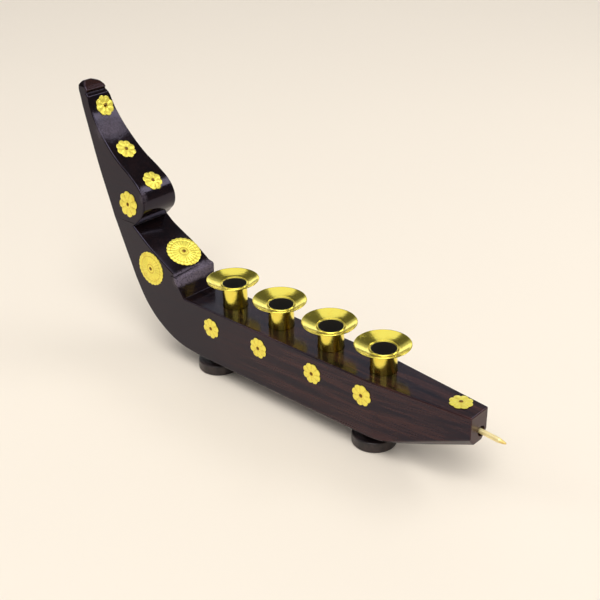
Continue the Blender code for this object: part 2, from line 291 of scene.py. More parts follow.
class Graph:
    """Adds nodes to one shader tree and joins them."""

    def __init__(self, tree: bpy.types.NodeTree) -> None:
        """Keeps the tree."""
        self.tree = tree

    def add(self, kind: str, **settings: object) -> bpy.types.Node:
        """Adds a node.

        Args:
            kind: Its class name after ShaderNode.
            **settings: Properties to set on it.

        Returns:
            The node.
        """
        node = self.tree.nodes.new("ShaderNode" + kind)
        for name, value in settings.items():
            setattr(node, name, value)
        return node

    def feed(self, socket: bpy.types.NodeSocket, value: object) -> None:
        """Links a socket to another, or sets it to a value."""
        if isinstance(value, bpy.types.NodeSocket):
            self.tree.links.new(value, socket)
        elif value is not None:
            socket.default_value = value

    def math(self, operation: str, *values: object, clamp: bool = False) -> bpy.types.NodeSocket:
        """Returns the result of a Math node."""
        node = self.add("Math", operation=operation, use_clamp=clamp)
        for socket, value in zip(node.inputs, values):
            self.feed(socket, value)
        return node.outputs[0]

    def vector(self, operation: str, *values: object) -> bpy.types.NodeSocket:
        """Returns the vector result of a Vector Math node."""
        node = self.add("VectorMath", operation=operation)
        for socket, value in zip(node.inputs, values):
            self.feed(socket, value)
        return node.outputs["Value" if operation == "LENGTH" else "Vector"]

    def blend(self, share: object, low: object, high: object, how: str = "MIX") -> bpy.types.NodeSocket:
        """Mixes two colours.

        Args:
            share: How much of the second colour shows.
            low: The first colour.
            high: The second colour.
            how: The blend type.

        Returns:
            The mixed colour.
        """
        node = self.add("Mix", data_type="RGBA", blend_type=how, clamp_factor=True)
        self.feed(node.inputs[0], share)
        for socket, value in ((node.inputs[6], low), (node.inputs[7], high)):
            self.feed(socket, (*value, 1.0) if isinstance(value, tuple) else value)
        return node.outputs[2]

    def noise(
        self, vector: object, scale: float, detail: float = 3.0, rough: float = 0.5
    ) -> bpy.types.NodeSocket:
        """Returns a noise value from 0 to 1 at a scale per metre."""
        node = self.add("TexNoise")
        self.feed(node.inputs["Vector"], vector)
        node.inputs["Scale"].default_value = scale
        node.inputs["Detail"].default_value = detail
        node.inputs["Roughness"].default_value = rough
        return node.outputs["Fac"]

    def span(
        self, value: object, low: float, high: float, to: tuple[float, float] = (0.0, 1.0)
    ) -> bpy.types.NodeSocket:
        """Maps a value from one range to another with soft, clamped ends."""
        node = self.add("MapRange", interpolation_type="SMOOTHSTEP")
        for socket, number in zip(node.inputs, (value, low, high, *to)):
            self.feed(socket, number)
        return node.outputs[0]

    def use(self, group: bpy.types.NodeTree, **inputs: object) -> bpy.types.Node:
        """Places a node group, its inputs given by name with spaces as underscores."""
        node = self.add("Group", node_tree=group)
        for name, value in inputs.items():
            self.feed(node.inputs[name.replace("_", " ")], value)
        return node

    def place(self) -> bpy.types.NodeSocket:
        """Returns the object's own coordinates."""
        return self.add("TexCoord").outputs["Object"]

    def attribute(self, name: str) -> bpy.types.NodeSocket:
        """Returns a value stored on the mesh."""
        return self.add("Attribute", attribute_name=name).outputs["Fac"]

    def bump(self, height: object, distance: float, normal: object = None) -> bpy.types.NodeSocket:
        """Returns a normal bent by a height of 0 to 1 that is worth a distance in metres."""
        node = self.add("Bump")
        node.inputs["Distance"].default_value = distance
        self.feed(node.inputs["Height"], height)
        self.feed(node.inputs["Normal"], normal)
        return node.outputs["Normal"]


GroupParts = tuple[bpy.types.NodeTree, Graph, bpy.types.Node, bpy.types.Node]


def shader_group(name: str, inputs: dict[str, str], outputs: dict[str, str]) -> GroupParts:
    """Starts a shader node group.

    Args:
        name: The group's name.
        inputs: Socket type of each input.
        outputs: Socket type of each output.

    Returns:
        The group's tree, a graph on it, and its input and output nodes.
    """
    tree = bpy.data.node_groups.new(name, "ShaderNodeTree")
    for side, sockets in (("INPUT", inputs), ("OUTPUT", outputs)):
        for label, kind in sockets.items():
            tree.interface.new_socket(name=label, in_out=side, socket_type="NodeSocket" + kind)
    graph = Graph(tree)
    return tree, graph, tree.nodes.new("NodeGroupInput"), tree.nodes.new("NodeGroupOutput")


class Effects:
    """Shared shader effects, each built once."""

    def __init__(self) -> None:
        """Builds every group."""
        self.grain = self._grain()
        self.smudge = self._smudge()
        self.patch = self._patch()
        self.turning = self._turning()
        self.tarnish_and_shade = self._tarnish_and_shade()

    @staticmethod
    def _grain() -> bpy.types.NodeTree:
        """Wood grain along X: broad streaks, fine fibres and short pores."""
        tree, graph, given, out = shader_group(
            "wood_grain",
            {"Vector": "Vector", "Stretch": "Vector"},
            {"Streak": "Float", "Fibre": "Float", "Pore": "Float"},
        )
        stretched = graph.vector("MULTIPLY", given.outputs["Vector"], given.outputs["Stretch"])
        wander = graph.math("MULTIPLY", graph.noise(stretched, 0.7, 2.0), 0.9)
        shifted = graph.vector("ADD", stretched, wander)
        graph.feed(out.inputs["Streak"], graph.span(graph.noise(shifted, 1.6, 5.0, 0.62), 0.34, 0.70))
        graph.feed(out.inputs["Fibre"], graph.noise(shifted, 9.0, 3.0, 0.6))
        graph.feed(out.inputs["Pore"], graph.span(graph.noise(shifted, 17.0, 1.0), 0.62, 0.74))
        return tree

    @staticmethod
    def _smudge() -> bpy.types.NodeTree:
        """Uneven gloss: handling marks and a little dust."""
        tree, graph, given, out = shader_group("smudge", {"Vector": "Vector"}, {"Mask": "Float"})
        broad = graph.noise(given.outputs["Vector"], 55.0, 4.0, 0.6)
        fine = graph.noise(given.outputs["Vector"], 900.0, 2.0, 0.6)
        mixed = graph.math("ADD", graph.math("MULTIPLY", broad, 0.7), graph.math("MULTIPLY", fine, 0.3))
        graph.feed(out.inputs["Mask"], graph.span(mixed, 0.35, 0.68))
        return tree

    @staticmethod
    def _patch() -> bpy.types.NodeTree:
        """An egg-shaped patch with a ragged border."""
        tree, graph, given, out = shader_group(
            "ragged_patch",
            {"Vector": "Vector", "Centre": "Vector", "Reach": "Vector", "Ragged": "Float"},
            {"Mask": "Float"},
        )
        away = graph.vector("SUBTRACT", given.outputs["Vector"], given.outputs["Centre"])
        reach = graph.vector("LENGTH", graph.vector("DIVIDE", away, given.outputs["Reach"]))
        wobble = graph.math("SUBTRACT", graph.noise(given.outputs["Vector"], 420.0, 3.0, 0.6), 0.5)
        ragged = graph.math("MULTIPLY_ADD", wobble, given.outputs["Ragged"], reach)
        graph.feed(out.inputs["Mask"], graph.span(ragged, 1.05, 0.3))
        return tree

    @staticmethod
    def _turning() -> bpy.types.NodeTree:
        """Fine rings left by the lathe, counted along a turned piece's profile."""
        tree, graph, given, out = shader_group(
            "lathe_rings", {"Along": "Float", "Vector": "Vector", "Pitch": "Float"}, {"Height": "Float"}
        )
        count = graph.math("DIVIDE", given.outputs["Along"], given.outputs["Pitch"])
        wander = graph.noise(given.outputs["Vector"], 160.0, 2.0)
        waves = graph.math("SINE", graph.math("MULTIPLY_ADD", wander, 3.0, count))
        uneven = graph.noise(graph.vector("MULTIPLY", given.outputs["Vector"], (1.0, 1.0, 6.0)), 700.0, 2.0)
        height = graph.math("MULTIPLY_ADD", waves, 0.25, graph.math("MULTIPLY", uneven, 0.75))
        graph.feed(out.inputs["Height"], height)
        return tree

    @staticmethod
    def _tarnish_and_shade() -> bpy.types.NodeTree:
        """Brass colour that deepens in blotches of tarnish, and where the mesh marks it: partly patina, partly
        painted shade, in hollows, in creases and on the pin's point.
        """
        tree, graph, given, out = shader_group(
            "tarnish_and_shade",
            {"Vector": "Vector", "Bright": "Color", "Deep": "Color", "Hollow": "Float"},
            {"Colour": "Color", "Mask": "Float"},
        )
        blotch = graph.span(graph.noise(given.outputs["Vector"], 210.0, 4.0, 0.62), 0.50, 0.74)
        fleck = graph.span(graph.noise(given.outputs["Vector"], 1900.0, 2.0, 0.5), 0.60, 0.74)
        marked = graph.math("MULTIPLY_ADD", fleck, 0.35, graph.math("MULTIPLY", blotch, 0.45))
        mask = graph.math("MAXIMUM", marked, given.outputs["Hollow"], clamp=True)
        graph.feed(out.inputs["Mask"], mask)
        graph.feed(out.inputs["Colour"], graph.blend(mask, given.outputs["Bright"], given.outputs["Deep"]))
        return tree


def principled(name: str) -> tuple[bpy.types.Material, Graph, bpy.types.Node]:
    """Starts a material.

    Args:
        name: The material's name.

    Returns:
        The material, a graph on its tree and its Principled node.
    """
    made = bpy.data.materials.new(name)
    made.use_nodes = True
    return made, Graph(made.node_tree), made.node_tree.nodes["Principled BSDF"]


@dataclass(frozen=True)
class RoughPatch:
    """A place where the carving was left rough under the lacquer.

    Attributes:
        centre: Its middle, a station.
        reach: Half its size along X, Y and Z.
        ridges: Direction across its ridges, in the XZ plane.
        depth: How deep its marks are.
        strength: How pale it looks, from 0 to 1: partly bare scratched wood, partly a painted sheen of the lamps
            on the rough carving.
    """

    centre: Triple
    reach: Triple
    ridges: tuple[float, float]
    depth: float
    strength: float


@dataclass(frozen=True)
class Rosewood:
    """Dark rosewood with reddish streaks under a thin clear gloss lacquer."""

    heart: Colour = (0.0040, 0.0025, 0.0030)
    streak: Colour = (0.046, 0.0165, 0.011)
    end_grain: Colour = (0.028, 0.010, 0.006)
    # A violet grey for the rough places: partly bare scratched wood, partly a painted sheen of the lamps on the
    # rough carving.
    rough_sheen: Colour = (0.175, 0.143, 0.182)
    stretch: Triple = (9.0, 150.0, 190.0)
    dip_degrees: float = 2.0
    # Towards the stern the reddish streaks fade, a painted cool tone that stands in for the surroundings'
    # reflection on the stern.
    warm_span: tuple[float, float] = (-35.0, 70.0)
    cool_share: float = 0.12
    roughness: float = 0.11
    end_dullness: float = 0.45
    smudge_roughness: float = 0.05
    rough_roughness: float = 0.42
    ragged: float = 0.5
    chip_height: float = 0.0004
    pore_depth: float = 0.00001
    ior: float = 1.43
    gloss_tint: Colour = (0.80, 0.70, 1.0)

    def build(
        self, effects: Effects, datum: Datum, patches: Sequence[RoughPatch]
    ) -> bpy.types.Material:
        """Makes the material.

        Args:
            effects: The shared effects.
            datum: Where stations are counted from.
            patches: The rough places.

        Returns:
            The material.
        """
        made, graph, shader = principled("lacquered_rosewood")
        place = graph.place()
        turned = graph.add("Mapping")
        turned.inputs["Rotation"].default_value = (0.0, math.radians(self.dip_degrees), 0.0)
        graph.feed(turned.inputs["Vector"], place)
        grain = graph.use(effects.grain, Vector=turned.outputs["Vector"], Stretch=self.stretch)
        along = graph.add("SeparateXYZ")
        graph.feed(along.inputs[0], place)
        # Painted cool tone: fewer reddish streaks towards the stern, standing in for the surroundings'
        # reflection there.
        start, end = (datum.point(x, 0.0, 0.0).x for x in self.warm_span)
        warmth = graph.span(along.outputs["X"], start, end, (self.cool_share, 1.0))
        streaks = graph.math("MULTIPLY", grain.outputs["Streak"], warmth)
        colour = graph.blend(streaks, self.heart, self.streak)
        fibre = graph.span(grain.outputs["Fibre"], 0.3, 0.75, (0.72, 1.25))
        colour = graph.blend(1.0, colour, self._grey(graph, fibre), "MULTIPLY")
        ends = graph.attribute("end_grain")
        rings = graph.noise(graph.vector("MULTIPLY", place, (1.0, 1.0, 2.2)), 520.0, 4.0, 0.65)
        end_colour = graph.blend(graph.span(rings, 0.35, 0.7), self.streak, self.end_grain)
        colour = graph.blend(ends, colour, end_colour)
        rough: object = 0.0
        for patch in patches:
            mask = graph.use(
                effects.patch,
                Vector=place,
                Centre=datum.point(*patch.centre),
                Reach=Vector(patch.reach) * MM,
                Ragged=self.ragged,
            ).outputs["Mask"]
            rough = graph.math("MAXIMUM", rough, graph.math("MULTIPLY", mask, patch.strength))
        # Rough places are painted paler: partly bare scratched wood, partly a painted sheen of the lamps on the
        # carving.
        speckle = graph.span(graph.noise(place, 1250.0, 3.0, 0.7), 0.32, 0.66, (0.2, 1.0))
        pale = graph.math("MULTIPLY", graph.span(rough, 0.05, 1.0), speckle)
        colour = graph.blend(pale, colour, self.rough_sheen)
        smudge = graph.use(effects.smudge, Vector=place).outputs["Mask"]
        dull = graph.math("MAXIMUM", rough, graph.math("MULTIPLY", ends, self.end_dullness))
        gloss = graph.math("MULTIPLY_ADD", smudge, self.smudge_roughness, self.roughness)
        mixed = graph.add("Mix", data_type="FLOAT")
        share, low, high = mixed.inputs[0], mixed.inputs[2], mixed.inputs[3]
        for socket, value in ((share, dull), (low, gloss), (high, self.rough_roughness)):
            graph.feed(socket, value)
        graph.feed(shader.inputs["Roughness"], mixed.outputs[0])
        graph.feed(shader.inputs["Base Color"], colour)
        pores = graph.bump(graph.math("MULTIPLY", grain.outputs["Pore"], -1.0), self.pore_depth)
        chips = graph.math("MULTIPLY", graph.noise(place, 1100.0, 4.0, 0.7), rough)
        graph.feed(shader.inputs["Normal"], graph.bump(chips, self.chip_height, pores))
        shader.inputs["IOR"].default_value = self.ior
        shader.inputs["Specular Tint"].default_value = (*self.gloss_tint, 1.0)
        return made

    @staticmethod
    def _grey(graph: Graph, value: bpy.types.NodeSocket) -> bpy.types.NodeSocket:
        """Returns a value as a grey colour."""
        node = graph.add("CombineColor")
        for socket in node.inputs:
            graph.feed(socket, value)
        return node.outputs[0]


@dataclass(frozen=True)
class TurnedWood:
    """Dark wood off the lathe with a satin finish."""

    heart: Colour = (0.012, 0.008, 0.009)
    streak: Colour = (0.042, 0.026, 0.025)
    stretch: Triple = (120.0, 120.0, 60.0)
    roughness: float = 0.30
    smudge_roughness: float = 0.18
    ring_pitch: float = 0.00009
    relief: float = 0.00006

    def build(self, effects: Effects) -> bpy.types.Material:
        """Makes the material from the shared effects."""
        made, graph, shader = principled("turned_rosewood")
        place = graph.place()
        grain = graph.use(effects.grain, Vector=place, Stretch=self.stretch)
        colour = graph.blend(grain.outputs["Streak"], self.heart, self.streak)
        graph.feed(shader.inputs["Base Color"], colour)
        smudge = graph.use(effects.smudge, Vector=place).outputs["Mask"]
        uneven = graph.math("MULTIPLY_ADD", smudge, self.smudge_roughness, self.roughness)
        graph.feed(shader.inputs["Roughness"], uneven)
        along = graph.attribute("along")
        rings = graph.use(effects.turning, Along=along, Vector=place, Pitch=self.ring_pitch)
        pores = graph.bump(grain.outputs["Fibre"], self.relief)
        graph.feed(shader.inputs["Normal"], graph.bump(rings.outputs["Height"], self.relief, pores))
        return made


@dataclass(frozen=True)
class Brass:
    """Brass, spun or stamped.

    Attributes:
        name: The material's name.
        bright: Colour where it is polished.
        deep: Colour where it is tarnished; also the painted shade in hollows and creases and on the pin's point.
        roughness: Roughness where it is polished.
        dull: What tarnish adds to the roughness.
        metal: How metallic it looks; below 1 a diffuse share of the colour shows, a painted reflection of the
            bright surroundings that keeps the brass bright at every angle.
        ring_height: Height of lathe rings, in metres.
        ring_pitch: Their pitch, in metres.
        dent_height: Height of small dents, in metres.
        dent_scale: Dents per metre.
        dark_bore: Near-black colour, matt and not metallic, where the mesh's dark_bore value is 1, inside each
            cup's bore.
    """

    name: str
    bright: Colour
    deep: Colour
    roughness: float
    dull: float = 0.15
    metal: float = 1.0
    ring_height: float = 0.0
    ring_pitch: float = 0.00012
    dent_height: float = 0.00003
    dent_scale: float = 500.0
    dark_bore: Colour = (0.012, 0.009, 0.006)

    def build(self, effects: Effects) -> bpy.types.Material:
        """Makes the material from the shared effects."""
        made, graph, shader = principled(self.name)
        place = graph.place()
        tarnish_and_shade = graph.use(
            effects.tarnish_and_shade,
            Vector=place,
            Bright=(*self.bright, 1.0),
            Deep=(*self.deep, 1.0),
            Hollow=graph.attribute("shade_and_patina"),
        )
        dark_bore = graph.attribute("dark_bore")
        graph.feed(shader.inputs["Base Color"], graph.blend(dark_bore, tarnish_and_shade.outputs["Colour"], self.dark_bore))
        outside_bore = graph.math("SUBTRACT", 1.0, dark_bore)
        graph.feed(shader.inputs["Metallic"], graph.math("MULTIPLY", outside_bore, self.metal))
        dulled = graph.math("MULTIPLY_ADD", tarnish_and_shade.outputs["Mask"], self.dull, self.roughness)
        graph.feed(shader.inputs["Roughness"], graph.math("MAXIMUM", dulled, dark_bore))
        normal = graph.bump(graph.noise(place, self.dent_scale, 3.0, 0.55), self.dent_height)
        if self.ring_height:
            along = graph.attribute("along")
            rings = graph.use(effects.turning, Along=along, Vector=place, Pitch=self.ring_pitch)
            normal = graph.bump(rings.outputs["Height"], self.ring_height, normal)
        graph.feed(shader.inputs["Normal"], normal)
        return made


@dataclass(frozen=True)
class PalePaper:
    """The plain sheet that the object stands on."""

    colour: Colour = (0.90, 0.81, 0.69)
    roughness: float = 0.9

    def build(self) -> bpy.types.Material:
        """Makes the material."""
        made, graph, shader = principled("pale_paper")
        cloud = graph.noise(graph.place(), 1.3, 2.0)
        tone = graph.span(cloud, 0.2, 0.8, (0.98, 1.0))
        graph.feed(shader.inputs["Base Color"], graph.blend(tone, (0.0, 0.0, 0.0), self.colour))
        shader.inputs["Roughness"].default_value = self.roughness
        shader.inputs["Specular IOR Level"].default_value = 0.1
        return made


class Finishes:
    """Every finish of the object, built once."""

    def __init__(self, effects: Effects, hull: "Hull") -> None:
        """Builds the materials.

        Args:
            effects: The shared effects.
            hull: The hull, whose rough places the rosewood shows.
        """
        self.rosewood = Rosewood().build(effects, hull.datum, hull.rough_patches)
        self.turned_wood = TurnedWood().build(effects)
        self.cup = Brass(
            "spun_brass", (0.93, 0.79, 0.13), (0.90, 0.66, 0.06), 0.17, ring_height=0.000012
        ).build(effects)
        # The flowers and the pin are only partly metallic: their diffuse colour is a painted reflection that
        # keeps them bright at every angle.
        self.rosette = Brass(
            "stamped_brass",
            (1.0, 0.87, 0.13),
            (0.62, 0.36, 0.02),
            0.34,
            metal=0.55,
            dent_height=0.00004,
            dent_scale=1400.0,
        ).build(effects)
        self.tack = Brass("tack_brass", (0.20, 0.11, 0.03), (0.06, 0.03, 0.01), 0.35).build(effects)
        self.spike = Brass(
            "pin_brass", (1.0, 0.84, 0.42), (0.80, 0.56, 0.14), 0.35, metal=0.45
        ).build(effects)


# ------------------------------------------------------------------------------------------------- hull


class Corner(Enum):
    """How the side outline passes through a point."""

    CRISP = "VECTOR"
    FAIR = "AUTO"


@dataclass(frozen=True)
class Rounding:
    """A stretch of edge that is rounded more or less than the rest.

    Attributes:
        centre: Its middle, a station.
        reach: Half its size along X, Y and Z.
        radius: The rounding.
    """

    centre: Triple
    reach: Triple
    radius: float

    def share(self, at: Vector) -> float:
        """Returns how much of this rounding applies at a station, from 0 to 1."""
        away = max(abs(at[i] - self.centre[i]) / self.reach[i] for i in range(3))
        return ease((1.25 - away) / 0.5)


@dataclass
class Hull:
    """The carved wooden body with its bored seats."""

    half_width: float = 13.4
    bow_end: float = 168.5
    bow_taper_from: float = 110.0
    bow_half_width: float = 7.3
    stern_taper_from: float = 36.0
    stern_top: float = 111.2
    stern_half_width: float = 7.5
    depth: float = 33.7
    ramp_twist: float = 1.4
    ramp_span: tuple[float, float] = (-62.0, -25.0)
    step_top: tuple[float, float] = (-31.1, 12.9)
    step_top_skew: float = 3.1
    step_break: tuple[float, float] = (-29.2, 5.7)
    step_break_skew: float = 1.1
    corner_reach: float = 0.5
    curve_steps: int = 10
    chine: tuple[Triple, Triple, Triple] = (
        (118.0, 12.6, -33.6),
        (168.5, 7.3, -12.5),
        (168.5, 3.3, -17.3),
    )
    cap_cuts: tuple[tuple[Triple, Triple], ...] = (
        ((-112.0, 0.4, 111.2), (0.0, 0.33, 0.95)),
        ((-112.0, 4.6, 109.75), (0.0, 0.78, 0.62)),
        ((-112.0, 6.2, 107.7), (0.0, 0.96, 0.28)),
        ((-112.0, -5.2, 111.2), (0.0, -3.0, 3.2)),
    )
    sharp_degrees: float = 26.0
    widest_rounding: float = 4.0
    rounding: float = 0.8
    inner_rounding: float = 0.25
    groove_rounding: float = 0.35
    groove_from: tuple[float, float] = (-108.0, 102.0)
    groove_top: float = 108.0
    rounding_steps: int = 5
    step_rounding: Rounding = Rounding((-31.1, 0.0, 12.9), (4.2, 18.0, 2.2), 2.0)
    rough_patches: tuple[RoughPatch, ...] = (
        # The step, the scoop, and the near edge of the lobe.
        RoughPatch((-31.2, 0.0, 10.4), (5.2, 60.0, 6.0), (0.25, -0.97), 0.30, 1.0),
        RoughPatch((-94.5, -2.0, 86.0), (9.0, 16.0, 11.0), (0.7, 0.7), 0.08, 0.5),
        RoughPatch((-58.8, -10.6, 54.0), (3.5, 3.5, 6.5), (0.2, 0.98), 0.08, 0.4),
    )
    seat_radius: float = 7.4
    seat_depth: float = 12.3
    run_in: float = 2.0
    slices: int = 22
    wide_edge: float = 4.0
    carved_to: float = -20.0
    passes: int = 4
    finest: float = 0.75
    flat_side: float = 0.8
    ridge_pace: float = 2.6
    cap_foot: tuple[float, float] = (-104.0, 106.0)
    cap_end_grain: float = 0.55
    datum: Datum = field(init=False)
    tree: BVHTree = field(init=False)

    def __post_init__(self) -> None:
        """Finds the datum in the frame."""
        self.datum = Datum.of_hull(self.bow_end, self.depth)

    def side_outline(self) -> tuple[tuple[float, float, Corner], ...]:
        """Returns the side outline: along the deck, up the stern's front, down its back, along the keel."""
        crisp, fair = Corner.CRISP, Corner.FAIR
        return (
            (self.bow_end, 0.0, crisp),
            (-26.3, 0.0, crisp),
            (*self.step_break, crisp),
            (*self.step_top, crisp),
            (-44.5, 20.6, fair),
            (-54.0, 25.6, fair),
            (-61.0, 29.8, fair),
            (-67.2, 34.2, crisp),
            (-62.9, 38.3, fair),
            (-59.2, 42.4, fair),
            (-57.4, 47.8, fair),
            (-58.2, 53.2, fair),
            (-61.6, 58.4, fair),
            (-68.4, 63.6, fair),
            (-80.5, 71.0, fair),
            (-91.0, 80.2, fair),
            (-98.8, 89.2, fair),
            (-103.4, 97.0, fair),
            (-105.4, 103.2, crisp),
            (-107.4, 104.8, crisp),
            (-106.2, 106.8, crisp),
            (-109.5, 109.97, fair),
            (-112.4, self.stern_top - 0.04, fair),
            (-114.15, 108.6, fair),
            (-112.6, 101.8, fair),
            (-106.2, 85.0, fair),
            (-98.0, 65.0, fair),
            (-85.4, 38.4, fair),
            (-73.1, 10.7, fair),
            (-66.6, -3.2, fair),
            (-57.9, -16.2, fair),
            (-45.4, -26.3, fair),
            (-32.5, -31.8, fair),
            (-18.0, -self.depth, crisp),
            (114.5, -self.depth, crisp),
            (125.0, -32.2, fair),
            (self.bow_end, -17.3, crisp),
        )

    def _blank(self) -> bmesh.types.BMesh:
        """Saws the blank: the side outline, extruded to the full width."""
        curve = bpy.data.curves.new("side_outline", "CURVE")
        curve.dimensions = "2D"
        curve.fill_mode = "NONE"
        curve.resolution_u = self.curve_steps
        spline = curve.splines.new("BEZIER")
        outline = self.side_outline()
        spline.bezier_points.add(len(outline) - 1)
        spline.use_cyclic_u = True
        for point, (x, z, corner) in zip(spline.bezier_points, outline):
            point.co = (self.datum.first_cup_x + x * MM, self.datum.deck_z + z * MM, 0.0)
            point.handle_left_type = corner.value
            point.handle_right_type = corner.value
        shape = bpy.data.objects.new("side_outline", curve)
        bpy.context.scene.collection.objects.link(shape)
        mesh = bpy.data.meshes.new_from_object(
            shape.evaluated_get(bpy.context.evaluated_depsgraph_get())
        )
        bpy.data.objects.remove(shape, do_unlink=True)
        bm = bmesh.new()
        bm.from_mesh(mesh)
        bpy.data.meshes.remove(mesh)
        bmesh.ops.remove_doubles(bm, verts=bm.verts, dist=0.00001)
        bmesh.ops.rotate(bm, verts=bm.verts, matrix=Matrix.Rotation(math.pi / 2.0, 3, "X"))
        bmesh.ops.translate(bm, verts=bm.verts, vec=(0.0, -self.half_width * MM, 0.0))
        side = bmesh.ops.contextual_create(bm, geom=bm.edges)["faces"]
        grown = bmesh.ops.extrude_face_region(bm, geom=side, use_keep_orig=True)["geom"]
        far = [item for item in grown if isinstance(item, bmesh.types.BMVert)]
        bmesh.ops.translate(bm, verts=far, vec=(0.0, 2.0 * self.half_width * MM, 0.0))
        bmesh.ops.recalc_face_normals(bm, faces=bm.faces)
        return bm

    def _width_share(self, at: Vector) -> float:
        """Returns how much of the full width the hull keeps at a station."""
        if at.z > self.stern_taper_from:
            along = (at.z - self.stern_taper_from) / (self.stern_top - self.stern_taper_from)
            return 1.0 - along * (1.0 - self.stern_half_width / self.half_width)
        if at.x > self.bow_taper_from:
            along = (at.x - self.bow_taper_from) / (self.bow_end - self.bow_taper_from)
            return 1.0 - along * (1.0 - self.bow_half_width / self.half_width)
        return 1.0

    def _taper(self, bm: bmesh.types.BMesh) -> None:
        """Narrows the bow and the stern, and skews the ramp and its step."""
        self._cut(bm, self.datum.point(self.bow_taper_from, 0.0, 0.0), Vector((1.0, 0.0, 0.0)))
        self._cut(bm, self.datum.point(0.0, 0.0, self.stern_taper_from), Vector((0.0, 0.0, 1.0)))
        corners = ((self.step_top, self.step_top_skew), (self.step_break, self.step_break_skew))
        lowest = self.step_break[1] + self.corner_reach
        for vert in bm.verts:
            at = self.datum.station(vert.co)
            aside = at.y / self.half_width
            if self.ramp_span[0] < at.x < self.ramp_span[1] and lowest < at.z < self.stern_taper_from:
                along = (at.x - self.ramp_span[0]) / (self.ramp_span[1] - self.ramp_span[0])
                vert.co.z += self.ramp_twist * MM * aside * math.sin(math.pi * along)
            for (x, z), skew in corners:
                if math.hypot(at.x - x, at.z - z) < self.corner_reach:
                    vert.co.x += skew * MM * aside
            vert.co.y *= self._width_share(at)

    @staticmethod
    def _cut(bm: bmesh.types.BMesh, point: Vector, normal: Vector, remove: bool = False) -> None:
        """Cuts a mesh along a plane.

        Args:
            bm: The mesh.
            point: A point of the plane.
            normal: The plane's normal.
            remove: Whether what lies outside goes and the cut is closed.
        """
        geometry = bm.verts[:] + bm.edges[:] + bm.faces[:]
        bmesh.ops.bisect_plane(
            bm, geom=geometry, dist=1e-7, plane_co=point, plane_no=normal, clear_outer=remove
        )
        if remove:
            rim = [edge for edge in bm.edges if edge.is_boundary]
            bmesh.ops.holes_fill(bm, edges=rim, sides=0)

    def _pare(self, bm: bmesh.types.BMesh) -> None:
        """Pares the keel's corners towards the bow, and the cap's corners."""
        for side in (-1.0, 1.0):
            a, b, c = (self.datum.point(x, side * y, z) for x, y, z in self.chine)
            normal = (b - a).cross(c - a).normalized()
            self._cut(bm, a, normal if normal.z < 0.0 else -normal, remove=True)
        for point, normal in self.cap_cuts:
            self._cut(bm, self.datum.point(*point), Vector(normal).normalized(), remove=True)

    def _mark_roundings(self, bm: bmesh.types.BMesh) -> None:
        """Writes how far each sharp edge is rounded as its bevel weight.

        Edges along the hull all get the same, because a change along a smooth run of edges would fold
        the side face over itself.
        """
        layer = bm.edges.layers.float.new("bevel_weight_edge")
        for edge in bm.edges:
            if len(edge.link_faces) != 2 or edge.calc_face_angle() < math.radians(self.sharp_degrees):
                continue
            ends = [vert.co for vert in edge.verts]
            at = self.datum.station((ends[0] + ends[1]) / 2.0)
            radius = self.rounding
            if abs((ends[0] - ends[1]).normalized().y) > 0.5:
                radius += (self.step_rounding.radius - self.rounding) * self.step_rounding.share(at)
                if edge.calc_face_angle_signed() < 0.0:
                    radius = self.inner_rounding
                if at.x > self.groove_from[0] and self.groove_from[1] < at.z < self.groove_top:
                    radius = self.groove_rounding
            edge[layer] = min(1.0, radius / self.widest_rounding)

    def _round(self, bm: bmesh.types.BMesh) -> bmesh.types.BMesh:
        """Rounds the marked edges with a Bevel modifier, which is then applied."""
        block = linked("hull_rounding", bm)
        bevel = block.modifiers.new("edges", "BEVEL")
        bevel.limit_method = "WEIGHT"
        bevel.width = self.widest_rounding * MM
        bevel.segments = self.rounding_steps
        bevel.profile = 0.5
        bevel.use_clamp_overlap = False
        return self._applied(block)

    @staticmethod
    def _applied(block: bpy.types.Object) -> bmesh.types.BMesh:
        """Applies an object's modifiers and removes it.

        Args:
            block: The object.

        Returns:
            Its final mesh.
        """
        graph = bpy.context.evaluated_depsgraph_get()
        mesh = bpy.data.meshes.new_from_object(block.evaluated_get(graph))
        bpy.data.objects.remove(block, do_unlink=True)
        bm = bmesh.new()
        bm.from_mesh(mesh)
        bpy.data.meshes.remove(mesh)
        return bm

    def _carve(self, bm: bmesh.types.BMesh) -> None:
        """Divides the stern's front finely, and cuts the tool marks into the rough places."""
        across = [
            edge
            for edge in bm.edges
            if abs((edge.verts[0].co - edge.verts[1].co).normalized().y) > 0.8
            and edge.calc_length() > self.wide_edge * MM
            and all(self.datum.station(vert.co).x < self.carved_to for vert in edge.verts)
        ]
        bmesh.ops.subdivide_edges(bm, edges=across, cuts=self.slices, use_grid_fill=True)
        for _ in range(self.passes):
            long_edges = [
                edge
                for edge in bm.edges
                if edge.calc_length() > self.finest * MM
                and all(self._roughness(vert.co)[0] > 0.0 for vert in edge.verts)
                and all(abs(face.normal.y) < self.flat_side for face in edge.link_faces)
            ]
            if not long_edges:
                break
            bmesh.ops.subdivide_edges(bm, edges=long_edges, cuts=1, use_grid_fill=True)
        bm.normal_update()
        moves = []
        for vert in bm.verts:
            share, patch = self._roughness(vert.co)
            if share > 0.0 and all(abs(face.normal.y) < self.flat_side for face in vert.link_faces):
                at = self.datum.station(vert.co)
                along = at.x * patch.ridges[0] + at.z * patch.ridges[1]
                ridge = math.sin(along * self.ridge_pace + noise.noise(at * 0.5) * 3.0)
                chip = noise.noise(at * 1.1) + 0.6 * noise.noise(at * 2.3)
                cut = patch.depth * ease(share * 1.6) * (0.5 + 0.25 * ridge + 0.6 * chip)
                moves.append((vert, -vert.normal * max(0.0, cut) * MM))
        for vert, move in moves:
            vert.co += move

